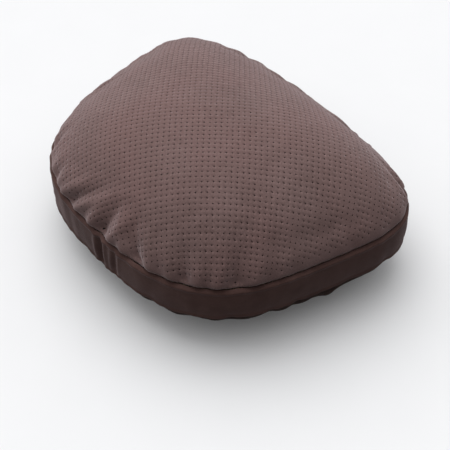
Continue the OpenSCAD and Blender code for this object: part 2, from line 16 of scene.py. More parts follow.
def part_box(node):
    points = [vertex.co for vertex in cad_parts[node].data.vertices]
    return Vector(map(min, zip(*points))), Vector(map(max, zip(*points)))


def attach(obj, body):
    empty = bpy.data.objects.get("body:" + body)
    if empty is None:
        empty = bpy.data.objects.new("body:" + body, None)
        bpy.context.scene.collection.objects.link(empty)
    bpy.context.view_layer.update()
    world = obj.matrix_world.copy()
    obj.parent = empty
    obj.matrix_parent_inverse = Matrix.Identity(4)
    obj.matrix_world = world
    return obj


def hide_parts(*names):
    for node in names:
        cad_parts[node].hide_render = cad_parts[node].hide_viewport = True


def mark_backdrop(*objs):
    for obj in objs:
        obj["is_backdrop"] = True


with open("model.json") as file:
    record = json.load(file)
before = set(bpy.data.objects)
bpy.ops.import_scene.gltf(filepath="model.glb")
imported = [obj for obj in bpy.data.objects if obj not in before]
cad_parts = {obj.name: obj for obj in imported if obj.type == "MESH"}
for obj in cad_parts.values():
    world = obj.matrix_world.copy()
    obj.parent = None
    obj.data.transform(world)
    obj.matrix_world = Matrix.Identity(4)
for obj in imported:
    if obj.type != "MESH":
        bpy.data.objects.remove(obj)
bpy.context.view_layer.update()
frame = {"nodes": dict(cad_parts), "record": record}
MM = 0.001
rng = random.Random(7)

# ---- the cushion's outline and heights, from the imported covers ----

CLOTH = 1.5 * MM
REAR_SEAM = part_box("rear_panel")[1][2] - CLOTH
FRONT_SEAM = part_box("front_panel")[0][2] + CLOTH
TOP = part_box("front_panel")[1][2] + 2.5 * MM
HALF_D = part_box("front_panel")[1][1]
HALF_W = 157 * MM
TAPER = 0.20
POWER_X, POWER_Y = 2.8, 3.7
DOME_POWER = 2.30  # how flat the dome's crown is
LEAN = 0.50  # how much flatter it is towards the corner between +X and -Y
EDGE_POWER = 0.70  # how steeply the dome meets its seam
BAND_BULGE = 4 * MM
STEPS = 600  # points round the seam
COVER_THICK = 1.0 * MM
LINING_THICK = 0.4 * MM


def signed_root(v, n):
    return np.sign(v) * np.abs(v) ** (2 / n)


def superellipse(t):
    """Plan of the seams: a squarish oval that is wider towards +Y."""
    v = signed_root(np.sin(t), POWER_Y)
    return np.stack([HALF_W * (1 + TAPER * v) * signed_root(np.cos(t), POWER_X), HALF_D * v], axis=-1)


def even_outline():
    """Evenly spaced points of the outline, from +X round by +Y, and its whole length."""
    fine = superellipse(np.linspace(0, 2 * math.pi, 40001))
    run = np.concatenate([[0], np.cumsum(np.linalg.norm(np.diff(fine, axis=0), axis=1))])
    at = np.arange(STEPS) / STEPS * run[-1]
    return np.stack([np.interp(at, run, fine[:, k]) for k in (0, 1)], axis=-1), run[-1]


def smooth_ring(a, width):
    """Averages a closed ring of values over a few neighbours."""
    k = np.arange(-width, width + 1)
    w = 1 + np.cos(k / (width + 1) * math.pi)
    return sum(np.roll(a, i, axis=0) * v for i, v in zip(k, w)) / w.sum()


OUTLINE, SEAM_LENGTH = even_outline()
ALONG = np.arange(STEPS) / STEPS * SEAM_LENGTH
_tangent = np.roll(OUTLINE, -1, axis=0) - np.roll(OUTLINE, 1, axis=0)
_tangent /= np.linalg.norm(_tangent, axis=1)[:, None]
OUTWARD = smooth_ring(np.stack([_tangent[:, 1], -_tangent[:, 0]], axis=-1), 6)
OUTWARD /= np.linalg.norm(OUTWARD, axis=1)[:, None]

# ---- folds ----
# Each is: place along the seam in mm from +X towards +Y, how far it leans along the seam per mm inwards,
# its length, its half width and its depth in mm. The seam is about 990 mm long.
FRONT_FOLDS = [
    (24, 0.10, 26, 5.0, 1.2), (66, 0.05, 30, 6.0, 1.5), (112, 0.50, 36, 4.6, 6.2),
    (140, 0.35, 30, 5.0, 1.6), (190, 0.75, 40, 4.2, 5.6), (226, 0.60, 28, 5.0, 1.6),
    (262, 0.70, 30, 4.0, 4.2), (285, 0.80, 38, 4.4, 5.4), (312, 0.70, 26, 5.0, 1.5),
    (340, 0.75, 42, 4.6, 6.0), (372, 0.50, 28, 5.0, 1.6), (400, 0.30, 30, 5.0, 2.6),
    (436, 0.10, 32, 5.0, 2.0), (470, -0.15, 34, 5.0, 2.4), (508, -0.40, 30, 5.5, 1.8),
    (540, -0.50, 28, 5.0, 1.6), (566, -0.60, 46, 4.4, 6.0), (600, -0.30, 30, 5.5, 1.8),
    (638, -0.20, 42, 4.6, 3.8), (680, 0.05, 34, 4.6, 3.6), (712, 0.70, 48, 5.6, 6.8),
    (738, 0.35, 30, 5.5, 1.8), (762, 0.30, 52, 6.4, 9.0), (786, 0.10, 24, 5.5, 1.8),
    (812, -0.36, 52, 7.4, 8.0), (840, -0.15, 26, 6.0, 1.8), (860, -0.05, 50, 6.4, 7.2),
    (879, 0.05, 38, 5.0, 4.2), (904, 0.20, 60, 7.8, 7.0), (932, 0.10, 28, 6.5, 1.8),
    (956, 0.05, 30, 6.0, 1.3),
]
# Broad hollows between the seam's tight spots: place, half width, depth and length in mm.
FRONT_HOLLOWS = [(150, 40, 2.0, 60), (196, 18, 3.8, 60), (248, 40, 1.4, 60), (300, 16, 1.6, 60),
                 (350, 12, 1.8, 45), (478, 30, 4.5, 90), (540, 40, 1.8, 60), (640, 34, 2.4, 60)]
REAR_FOLDS = [(q * 16 + rng.uniform(-5, 5), rng.uniform(-0.5, 0.5), rng.uniform(22, 50), rng.uniform(5, 9),
               rng.uniform(0.8, 2.6)) for q in range(62)]


def fold_depth(along_mm, inward_mm, folds):
    """How far the cloth sinks (positive) or rises between its folds, in mm."""
    depth = np.zeros(np.broadcast(along_mm, inward_mm).shape)
    for place, lean, length, width, deep in folds:
        across = ring_distance(along_mm - lean * inward_mm, place)
        spread = width * (1 + 0.5 * inward_mm / length)
        reach = np.clip(1 - inward_mm / length, 0, 1)
        start = np.clip(inward_mm / 5, 0, 1)
        envelope = reach ** 1.3 * (0.25 + 0.75 * start)
        valley = np.exp(-np.abs(across / spread) ** 1.5)
        ridges = np.exp(-((np.abs(across) - 2.1 * spread) / (0.9 * spread)) ** 2)
        depth += deep * envelope * (valley - 0.42 * ridges)
    return depth


def ring_distance(along_mm, place):
    """Signed distance along the seam from a place on it, the short way round."""
    total = SEAM_LENGTH / MM
    return (along_mm - place + total / 2) % total - total / 2


def ease(x):
    """A smooth step from 0 to 1."""
    x = np.clip(x, 0, 1)
    return x * x * (3 - 2 * x)


def ripple(along, waves, seed, size):
    """Sum of a few irregular waves round the seam, the same each run."""
    r = random.Random(seed)
    total = np.zeros_like(along)
    for _ in range(waves):
        n = r.randint(26, 90)
        weight = math.sqrt(26 / n) * r.uniform(0.4, 1)
        total += weight * np.sin(2 * math.pi * n * along / SEAM_LENGTH + r.uniform(0, 6.3))
    return size * total / math.sqrt(waves)


SEAM_DIP = 1.7 * MM  # how far the seams are pulled in
SEAM_WAVE = ripple(ALONG, 9, 3, 0.45 * MM)
REAR_WAVE = ripple(ALONG, 7, 5, 0.7 * MM)

# ---- mesh helpers ----


def new_piece(name, verts, faces, material, body="cushion"):
    """A smooth-shaded mesh object that rides on a body, or on none."""
    mesh = bpy.data.meshes.new(name)
    mesh.from_pydata([tuple(map(float, v)) for v in verts], [], [tuple(map(int, f)) for f in faces])
    mesh.validate()
    mesh.update()
    mesh.polygons.foreach_set("use_smooth", [True] * len(mesh.polygons))
    piece = bpy.data.objects.new(name, mesh)
    bpy.context.scene.collection.objects.link(piece)
    mesh.materials.append(material)
    if body:
        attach(piece, body)
    return piece


def grid_faces(rows, columns):
    """Quads of a sheet whose columns close into a ring."""
    i, j = np.meshgrid(np.arange(rows - 1), np.arange(columns), indexing="ij")
    a = i * columns + j
    b = i * columns + (j + 1) % columns
    return np.stack([a, b, b + columns, a + columns], axis=-1).reshape(-1, 4)


def grid_normals(points):
    """Unit normals of a ring-closed grid of points, rows by columns by 3."""
    down = np.gradient(points, axis=0)
    round_ = np.roll(points, -1, axis=1) - np.roll(points, 1, axis=1)
    n = np.cross(round_, down)
    return n / np.maximum(np.linalg.norm(n, axis=2), 1e-12)[..., None]


def bake(piece):
    """Applies the piece's modifiers."""
    graph = bpy.context.evaluated_depsgraph_get()
    mesh = bpy.data.meshes.new_from_object(piece.evaluated_get(graph))
    piece.modifiers.clear()
    piece.data = mesh
    return piece


def thicken(piece, depth):
    """Gives a sheet its thickness, all of it behind its face."""
    solid = piece.modifiers.new("Cloth thickness", "SOLIDIFY")
    solid.thickness = depth
    solid.offset = -1
    return bake(piece)


def settle(fine, slack, pressure, frames, cap):
    """Cloth simulation of a dished sheet, held at its last two rows, on every second row and column.

    slack is a share per point of how much its cloth is too long. The fine points follow the coarse ones.
    """
    points = fine[::2, ::2]
    slack = slack[::2, ::2]
    rows, columns = points.shape[:2]
    pinned_rows = (rows - 2, rows - 1)
    flat = points.reshape(-1, 3)
    mesh = bpy.data.meshes.new("settling")
    faces = [tuple(map(int, f)) for f in grid_faces(rows, columns)]
    faces.append(tuple(range(columns)))
    mesh.from_pydata([tuple(map(float, v)) for v in flat], [], faces)
    cloth = bpy.data.objects.new("settling", mesh)
    bpy.context.scene.collection.objects.link(cloth)
    pins = cloth.vertex_groups.new(name="pins")
    for row in pinned_rows:
        pins.add(list(range(row * columns, (row + 1) * columns)), 1.0, "REPLACE")
    loose = cloth.vertex_groups.new(name="slack")
    for i, w in enumerate(slack.reshape(-1)):
        if w > 0.001:
            loose.add([i], float(w), "REPLACE")
    modifier = cloth.modifiers.new("Cloth", "CLOTH")
    s = modifier.settings
    s.quality = 8
    s.mass = 0.25
    s.tension_stiffness = s.compression_stiffness = 25
    s.shear_stiffness = 12
    s.bending_stiffness = 0.6
    s.vertex_group_mass = "pins"
    s.vertex_group_shrink = "slack"
    s.shrink_min = 0.0
    s.shrink_max = -0.09
    s.use_pressure = True
    s.uniform_pressure_force = pressure
    s.effector_weights.gravity = 0
    modifier.collision_settings.use_collision = False
    scene = bpy.context.scene
    for f in range(1, frames + 1):
        scene.frame_set(f)
    graph = bpy.context.evaluated_depsgraph_get()
    result = cloth.evaluated_get(graph).data
    moved = np.empty(len(flat) * 3)
    result.vertices.foreach_get("co", moved)
    moved = moved.reshape(-1, 3)
    bpy.data.objects.remove(cloth)
    scene.frame_set(1)
    step = moved - flat
    far = np.linalg.norm(step, axis=1)[:, None]
    step *= np.minimum(1, cap / np.maximum(far, 1e-9))
    step = step.reshape(points.shape)
    wide = np.empty((rows, fine.shape[1], 3))
    wide[:, ::2] = step
    wide[:, 1::2] = (step + np.roll(step, -1, axis=1)) / 2
    full = np.empty(fine.shape)
    full[::2] = wide
    full[1::2] = (wide[:-1] + wide[1:]) / 2
    return fine + full


# ---- front panel ----

RINGS = 84
SHARE = 1 - (1 - np.linspace(0.0, 1.0, RINGS + 1)) ** 1.7
SHARE[0] = 0.004
FRONT_CORNER = np.array([0.764, -0.645])  # towards the flatter corner
POWER = DOME_POWER + LEAN * (OUTLINE @ FRONT_CORNER) / np.linalg.norm(OUTLINE, axis=1)


def dome_height(share):
    """Heights of the plain dome, one row per share and one column per point of the outline."""
    return FRONT_SEAM + (TOP - FRONT_SEAM) * (1 - share[:, None] ** POWER[None, :]) ** EDGE_POWER


def meridians(share):
    """Arc length from the dome's middle to each share of the outline, per direction."""
    fine = np.linspace(0, 1, 401)
    radius = np.linalg.norm(OUTLINE, axis=1)
    rise = np.diff(dome_height(fine), axis=0)
    length = np.sqrt((radius[None, :] * np.diff(fine)[:, None]) ** 2 + rise ** 2)
    run = np.concatenate([np.zeros((1, STEPS)), np.cumsum(length, axis=0)])
    return np.stack([np.interp(share, fine, run[:, j]) for j in range(STEPS)], axis=1)


ARC = meridians(SHARE)
INWARD = ARC[-1][None, :] - ARC


def front_grid():
    """Points of the front panel: rings from the middle to the seam."""
    grid = np.empty((RINGS + 1, STEPS, 3))
    grid[..., :2] = SHARE[:, None, None] * OUTLINE[None]
    grid[..., 2] = dome_height(SHARE)
    normal = grid_normals(grid)
    if normal[RINGS // 2, 0, 2] < 0:
        normal = -normal
    inward_mm = INWARD / MM
    sink = fold_depth(ALONG[None, :] / MM, inward_mm, FRONT_FOLDS) * MM
    for place, width, deep, length in FRONT_HOLLOWS:
        across = ring_distance(ALONG / MM, place)[None, :]
        reach = ease(inward_mm / 10) * (1 - ease(inward_mm / length))
        sink += deep * MM * np.exp(-(across / width) ** 2) * reach
    sink *= ease(inward_mm / 4)  # the panel stays sewn to the band
    crown = 0.8 * MM * np.exp(-((inward_mm - 14) / 12) ** 2)
    roll = np.clip(1 - inward_mm / 3.2, 0, 1) ** 2
    lift = crown - sink - 1.2 * MM * roll
    grid += normal * lift[..., None]
    pull = SEAM_DIP * roll + SEAM_WAVE[None, :] * np.exp(-inward_mm / 7)
    grid[..., :2] -= OUTWARD[None] * pull[..., None]
    grid[-1, :, 2] = FRONT_SEAM + 0.4 * SEAM_WAVE
    return grid


FRONT = front_grid()
near = np.exp(-((INWARD / MM - 14) / 16) ** 2)
FRONT = settle(FRONT, slack=near, pressure=3.0, frames=16, cap=7 * MM)
FRONT_NORMAL = grid_normals(FRONT)
if FRONT_NORMAL[RINGS // 2, 0, 2] < 0:
    FRONT_NORMAL = -FRONT_NORMAL

PITCH = 5.05 * MM
LATTICE_TURN = math.radians(47.5)  # the rows of holes run diagonally across the cushion
HOLE_R = 0.70 * MM
HOLE_SIDES = 8
BARE_EDGE = 9 * MM  # unperforated edge along the seam


def on_front(flat, depth=0.0):
    """Places points of the flat-cut cloth on the settled panel, sunk by a depth."""
    angle = np.unwrap(np.arctan2(OUTLINE[:, 1], OUTLINE[:, 0]))
    angle = np.append(angle, angle[0] + 2 * math.pi)
    want = np.arctan2(flat[:, 1], flat[:, 0]) % (2 * math.pi)
    want = np.where(want < angle[0], want + 2 * math.pi, want)
    column = np.interp(want, angle, np.arange(STEPS + 1))
    low = column.astype(int) % STEPS
    high = (low + 1) % STEPS
    mix = (column - np.floor(column))[:, None]
    run = ARC[:, low].T * (1 - mix) + ARC[:, high].T * mix
    dist = np.linalg.norm(flat, axis=1)
    row = np.array([np.interp(d, r, np.arange(RINGS + 1)) for d, r in zip(dist, run)])
    i = np.minimum(row.astype(int), RINGS - 1)
    k = (row - i)[:, None]

    def sample(field):
        a = field[i, low] * (1 - mix) + field[i, high] * mix
        b = field[i + 1, low] * (1 - mix) + field[i + 1, high] * mix
        return a * (1 - k) + b * k

    normal = sample(FRONT_NORMAL)
    normal /= np.linalg.norm(normal, axis=1)[:, None]
    return sample(FRONT) - normal * np.asarray(depth).reshape(-1, 1)


def flat_edge(inset):
    """The cloth's cut edge, moved inwards, as flat points."""
    direction = OUTLINE / np.linalg.norm(OUTLINE, axis=1)[:, None]
    return direction * (ARC[-1] - inset)[:, None]


def reach_to(edge, points):
    """Distance from the middle to a closed edge, in the direction of each point."""
    turn = np.arctan2(edge[:, 1], edge[:, 0])
    order = np.argsort(turn)
    reach = np.linalg.norm(edge, axis=1)[order]
    return np.interp(np.arctan2(points[:, 1], points[:, 0]), turn[order], reach, period=2 * math.pi)


def hole_centres():
    """A square grid of points turned by LATTICE_TURN, and which of them lie inside the bare edge."""
    count = int(0.25 / PITCH)
    i, j = np.meshgrid(np.arange(-count, count + 1), np.arange(-count, count + 1))
    turn = LATTICE_TURN
    x = PITCH * (i * math.cos(turn) - j * math.sin(turn)).reshape(-1)
    y = PITCH * (i * math.sin(turn) + j * math.cos(turn)).reshape(-1)
    cells = np.stack([x, y], axis=-1)
    keep = np.hypot(x, y) < reach_to(flat_edge(0), cells) - BARE_EDGE
    return cells, keep


def perforated_panel(material, backing_and_painted_hole_shade):
    """The front panel as one closed sheet with every hole cut through it. Its underside and the walls of its
    holes take the dark second material; on the hole walls that is painted shade.
    """
    cells, keep = hole_centres()
    centres = cells[keep]
    turn = np.arange(HOLE_SIDES) / HOLE_SIDES * 2 * math.pi
    rim = np.stack([np.cos(turn), np.sin(turn)], axis=-1) * HOLE_R
    holes = (centres[:, None, :] + rim[None]).reshape(-1, 2)
    edge = flat_edge(0)[::2]
    n_edge = len(edge)
    insets = [0.9, 2.0, 3.4, 5.2]
    rings = [flat_edge(d * MM)[k % 2::2] for k, d in enumerate(insets)]
    half = PITCH / 2
    axis_a = np.array([math.cos(LATTICE_TURN), math.sin(LATTICE_TURN)])
    axis_b = np.array([-axis_a[1], axis_a[0]])

    def inset_of(p):
        return reach_to(flat_edge(0), p) - np.hypot(p[:, 0], p[:, 1])

    steps = [axis_a * half, axis_b * half, (axis_a + axis_b) * half]
    extra = np.concatenate([cells[~keep]] + [cells + step for step in steps])
    extra = extra[inset_of(extra) > 6.4 * MM]
    points = np.concatenate([edge, holes] + rings + [extra])
    constraints = [(i, (i + 1) % n_edge) for i in range(n_edge)]
    for h in range(len(centres)):
        first = n_edge + h * HOLE_SIDES
        constraints += [(first + k, first + (k + 1) % HOLE_SIDES) for k in range(HOLE_SIDES)]
    scaled = [Vector((float(x) * 1000, float(y) * 1000)) for x, y in points]
    verts, _, faces, *_ = delaunay_2d_cdt(scaled, constraints, [], 0, 1e-5)
    flat = np.array([(v.x, v.y) for v in verts]) * MM
    tri = np.array([f for f in faces if len(f) == 3])
    middle = flat[tri].mean(axis=1)
    tree = KDTree(len(centres))
    for k, c in enumerate(centres):
        tree.insert((c[0], c[1], 0), k)
    tree.balance()
    open_ = np.array([tree.find((m[0], m[1], 0))[2] < HOLE_R * 0.8 for m in middle])
    tri = tri[~open_ & (inset_of(middle) > -1e-6)]
    top = on_front(flat)
    under = on_front(flat, COVER_THICK)
    a, b, c = top[tri[:, 0]], top[tri[:, 1]], top[tri[:, 2]]
    if np.cross(b - a, c - a)[:, 2].sum() <= 0:
        tri = tri[:, ::-1]
    edges = np.concatenate([tri[:, [0, 1]], tri[:, [1, 2]], tri[:, [2, 0]]])
    codes = edges[:, 0].astype(np.int64) * len(flat) + edges[:, 1]
    back = edges[:, 1].astype(np.int64) * len(flat) + edges[:, 0]
    rim_edges = edges[~np.isin(codes, back)]
    tail, head = rim_edges[:, 0], rim_edges[:, 1]
    walls = np.stack([head, tail, tail + len(flat), head + len(flat)], axis=-1)
    faces = [tuple(f) for f in tri]
    faces += [tuple(f) for f in tri[:, ::-1] + len(flat)]
    faces += [tuple(f) for f in walls]
    piece = new_piece("front_cover", np.concatenate([top, under]), faces, material)
    # Painted shade: the hole walls, like the underside, get the near-black lining material so that each hole
    # reads as a dark dot.
    piece.data.materials.append(backing_and_painted_hole_shade)
    n_flat = 2 * len(tri)
    piece.data.polygons.foreach_set("material_index", [0] * len(tri) + [1] * (len(tri) + len(walls)))
    piece.data.polygons.foreach_set("use_smooth", [True] * n_flat + [False] * len(walls))
    return piece


def front_lining(material):
    """A dark lining just under the perforated cloth, seen through its holes."""
    rows = FRONT[::3] - FRONT_NORMAL[::3] * 1.5 * MM
    rows = rows[:, ::2]
    faces = [tuple(f) for f in grid_faces(len(rows), rows.shape[1])]
    faces.append(tuple(range(rows.shape[1]))[::-1])
    piece = new_piece("front_lining", rows.reshape(-1, 3), faces, material)
    return thicken(piece, LINING_THICK)


# ---- side band ----

POD_YAW = math.atan(TAPER * (HALF_W + BAND_BULGE) / (HALF_D + BAND_BULGE))
POD_OUT = Vector((-math.cos(POD_YAW), -math.sin(POD_YAW), 0))
POD_SIDE = Vector((math.sin(POD_YAW), -math.cos(POD_YAW), 0))
POD_Y = -6 * MM
POD_X = -(HALF_W + BAND_BULGE) * (1 + TAPER * POD_Y / (HALF_D + BAND_BULGE))
BAND_MID = (FRONT_SEAM + REAR_SEAM) / 2
POD_CENTRE = Vector((POD_X, POD_Y, BAND_MID))  # middle of the band's opening, on its outer surface
POD_HOLE = (59 * MM, 21 * MM)  # the opening behind the bezel's rim
POD_PAD = (62 * MM, 24 * MM)  # the flattened patch round it
ZIP_R = 1.0  # plan radius of the zip's path
ZIP_CENTRE_Y = HALF_D + BAND_BULGE + 0.6 * MM - ZIP_R
ZIP_HALF = math.radians(5)

# Pleats that run down the band: place along the seam in mm, lean, half width and depth in mm.
BAND_PLEATS = [(112, 0.2, 3.0, 1.8), (262, -0.2, 3.5, 1.2), (340, 0.3, 3.0, 1.6),
               (566, 0.2, 3.0, 1.4), (640, -0.2, 3.0, 1.2), (714, 0.1, 5.0, 0.8),
               (763, 0.05, 3.0, 3.6), (785, -0.05, 2.4, 2.0), (830, -0.1, 6.0, 0.9)]
# Gathers that lift the rear seam: place along the seam, width and height in mm.
SCALLOPS = [(825, 13, 2.4), (862, 10, 1.4), (900, 12, 2.6), (935, 9, 2.0), (960, 10, 2.4), (20, 12, 2.2),
            (60, 12, 2.4), (96, 10, 1.8), (150, 12, 2.0), (212, 10, 2.0), (300, 12, 2.0), (380, 10, 1.6),
            (596, 12, 2.0), (668, 10, 1.8), (740, 10, 2.2), (790, 8, 1.6)]


def rear_seam_lift():
    """How far the rear seam is drawn up, round the seam."""
    lift = REAR_WAVE * 0.5
    for place, width, height in SCALLOPS:
        lift = lift + height * MM * np.exp(-(ring_distance(ALONG / MM, place) / (0.5 * width)) ** 2)
    return lift


REAR_LIFT = rear_seam_lift()
# Lobes of the rear panel that swell out below the band: place along the seam, half width, swell in mm.
REAR_LOBES = [(846, 15, 2.4), (884, 15, 2.8), (922, 16, 3.4), (954, 15, 3.8), (984, 16, 4.4),
              (12, 16, 4.6), (48, 17, 3.6), (86, 15, 3.0), (120, 16, 2.5), (180, 20, 2.5),
              (256, 24, 3.0), (340, 24, 2.5), (430, 24, 2.5), (520, 24, 2.5), (630, 22, 2.5),
              (700, 18, 2.5), (765, 14, 2.0), (808, 12, 2.5)]
REAR_SWELL = np.zeros_like(ALONG)
for place, width, size in REAR_LOBES:
    REAR_SWELL += size * np.exp(-(ring_distance(ALONG / MM, place) / width) ** 2)


def in_stadium(x, y, w, h):
    """Signed distance outside a stadium of full width w and height h, negative inside."""
    core = np.maximum(np.abs(x) - (w - h) / 2, 0)
    return np.hypot(core, y) - h / 2


def band_grid():
    """Points of the side band: rows from the front seam down to the rear one."""
    rows = 34
    t = 0.5 - 0.5 * np.cos(np.linspace(0, math.pi, rows))
    t = 0.6 * t + 0.4 * np.linspace(0, 1, rows)
    top_z = FRONT_SEAM + 0.4 * SEAM_WAVE
    low_z = REAR_SEAM + 0.5 * REAR_LIFT
    grid = np.empty((rows, STEPS, 3))
    height = (FRONT_SEAM - REAR_SEAM) / MM
    d_top = t * height
    d_low = (1 - t) * height
    out = 0.6 * BAND_BULGE / MM * (4 * t * (1 - t)) ** 0.8
    for d in (d_top, d_low):
        out = out - SEAM_DIP / MM * np.exp(-(d / 1.2) ** 2) + 1.1 * np.exp(-((d - 2.8) / 1.8) ** 2)
    out = out[:, None] + np.zeros(STEPS)
    along = ALONG[None, :] / MM
    down = (t * height)[:, None]
    for place, lean, width, deep in BAND_PLEATS:
        across = ring_distance(along - lean * down, place)
        groove = np.exp(-np.abs(across / width) ** 1.6)
        shoulders = 0.45 * np.exp(-((np.abs(across) - 2.2 * width) / width) ** 2)
        out = out - deep * np.sin(math.pi * t[:, None]) ** 0.5 * (groove - shoulders)
    out = out + ripple(ALONG, 12, 11, 0.3)[None, :] * np.exp(-((d_top - 3) / 4.5) ** 2)[:, None]
    out = out + ripple(ALONG, 12, 12, 0.35)[None, :] * np.exp(-((d_low - 3) / 5.5) ** 2)[:, None]
    out = out + ripple(ALONG, 6, 13, 0.35)[None, :] * np.sin(math.pi * t)[:, None]
    out = out - (REAR_LIFT / MM * 0.5)[None, :] * np.exp(-d_low / 6)[:, None]
    out = out - (SEAM_WAVE / MM)[None, :] * np.exp(-d_top / 4)[:, None]
    out = out - 1.2 * np.exp(-(ring_distance(along, 720) / 90) ** 2) * (4 * t * (1 - t))[:, None]
    grid[..., :2] = OUTLINE[None] + OUTWARD[None] * out[..., None] * MM
    grid[..., 2] = top_z[None, :] + (low_z - top_z)[None, :] * t[:, None]
    return seat_on_hardware(grid)


def seat_on_hardware(grid):
    """Lays the band flat under the control bezel's rim and behind the zip's tapes."""
    rel = grid - np.array(POD_CENTRE)
    x = rel @ np.array(POD_SIDE)
    n = rel @ np.array(POD_OUT)
    dist = in_stadium(x, rel[..., 2], *POD_PAD)
    share = 1 - ease(dist / (9 * MM))
    share[np.abs(n) > 20 * MM] = 0
    grid = grid + (share * (-0.15 * MM - n))[..., None] * np.array(POD_OUT)
    from_centre = grid - np.array([0, ZIP_CENTRE_Y, 0])
    angle = np.arctan2(from_centre[..., 0], from_centre[..., 1])
    radius = np.hypot(from_centre[..., 0], from_centre[..., 1])
    beyond = np.maximum(np.abs(angle) - ZIP_HALF, 0) * ZIP_R
    above = np.maximum(np.abs(grid[..., 2] - BAND_MID) - 10 * MM, 0)
    share = (1 - ease(beyond / (10 * MM))) * (1 - ease(above / (5 * MM)))
    share[grid[..., 1] < 0] = 0
    move = share * (ZIP_R - 0.35 * MM - radius)
    grid[..., 0] += np.sin(angle) * move
    grid[..., 1] += np.cos(angle) * move
    return grid


def band_cover(material):
    """The side band, with an opening for the control bezel."""
    grid = band_grid()
    flat = grid.reshape(-1, 3)
    faces = grid_faces(*grid.shape[:2])
    rel = flat - np.array(POD_CENTRE)
    x = rel @ np.array(POD_SIDE)
    y = rel[:, 2]
    near = np.abs(rel @ np.array(POD_OUT)) < 5 * MM
    dist = np.where(near, in_stadium(x, y, *POD_HOLE), 1.0)
    faces = faces[~(dist[faces] < 0).all(axis=1)]
    straight = (POD_HOLE[0] - POD_HOLE[1]) / 2
    core = np.clip(x, -straight, straight)
    radial = np.stack([x - core, y], axis=-1)
    radial /= np.maximum(np.linalg.norm(radial, axis=1), 1e-9)[:, None]
    shift = radial * np.where(dist < 0, -dist, 0)[:, None]
    flat = flat + shift[:, :1] * np.array(POD_SIDE) + shift[:, 1:] * np.array([0, 0, 1.0])
    used = np.unique(faces)
    index = np.full(len(flat), -1)
    index[used] = np.arange(len(used))
    piece = new_piece("band_cover", flat[used], index[faces], material)
    return thicken(outward(piece), COVER_THICK)


def outward(piece):
    """Turns the faces of a ring-shaped or dished sheet so that they look away from the cushion's middle."""
    mesh = piece.data
    middle = Vector((0, 0, BAND_MID))
    facing = sum((f.center - middle).dot(f.normal) * f.area for f in mesh.polygons)
    if facing < 0:
        mesh.flip_normals()
    return piece


# ---- rear panel ----

REAR_FLAT = 0.55  # share of the outline that lies on the table
REAR_POWER = 2.2


def rear_cover(material):
    """The rear panel, flat where it rests on the table."""
    rows = 60
    share = np.linspace(1, 0, rows + 1)
    share[-1] = 0.006
    grid = np.empty((rows + 1, STEPS // 2, 3))
    outline = OUTLINE[::2]
    out = OUTWARD[::2]
    lift = REAR_LIFT[::2]
    height = REAR_SEAM * (np.clip((share - REAR_FLAT) / (1 - REAR_FLAT), 0, 1)) ** REAR_POWER
    grid[..., :2] = share[:, None, None] * outline[None]
    grid[..., 2] = height[:, None]
    radius = np.linalg.norm(outline, axis=1)
    inward_mm = (1 - share)[:, None] * radius[None, :] / MM
    sink = fold_depth(ALONG[None, ::2] / MM, inward_mm, REAR_FOLDS)
    roll = np.exp(-inward_mm / 1.6)
    edge = np.clip(inward_mm / 6, 0, 1) * np.clip((share[:, None] - REAR_FLAT) / 0.2, 0, 1)
    grid[..., 2] += (sink * edge + 0.5 * lift[None, :] / MM * np.exp(-inward_mm / 9)) * MM
    crown = (1.2 + REAR_SWELL[None, ::2]) * np.exp(-((inward_mm - 9) / 6.5) ** 2)
    shift = crown - (SEAM_DIP / MM) * roll - 0.5 * sink * edge
    shift -= 0.5 * lift[None, :] / MM * np.exp(-inward_mm / 6)
    grid[..., :2] += out[None] * shift[..., None] * MM
    wave = np.sin(grid[..., 0] * 43 + 1.3) * np.sin(grid[..., 1] * 51) * 0.5 + 0.5
    floor = 0.2 * MM + 0.5 * MM * wave * np.clip(share[:, None] / REAR_FLAT, 0, 1)
    grid[..., 2] = np.maximum(grid[..., 2], floor)
    faces = [tuple(f) for f in grid_faces(rows + 1, STEPS // 2)]
    last = rows * (STEPS // 2)
    faces.append(tuple(range(last, last + STEPS // 2)))
    piece = new_piece("rear_cover", grid.reshape(-1, 3), faces, material)
    return thicken(outward(piece), COVER_THICK)


# ---- materials ----


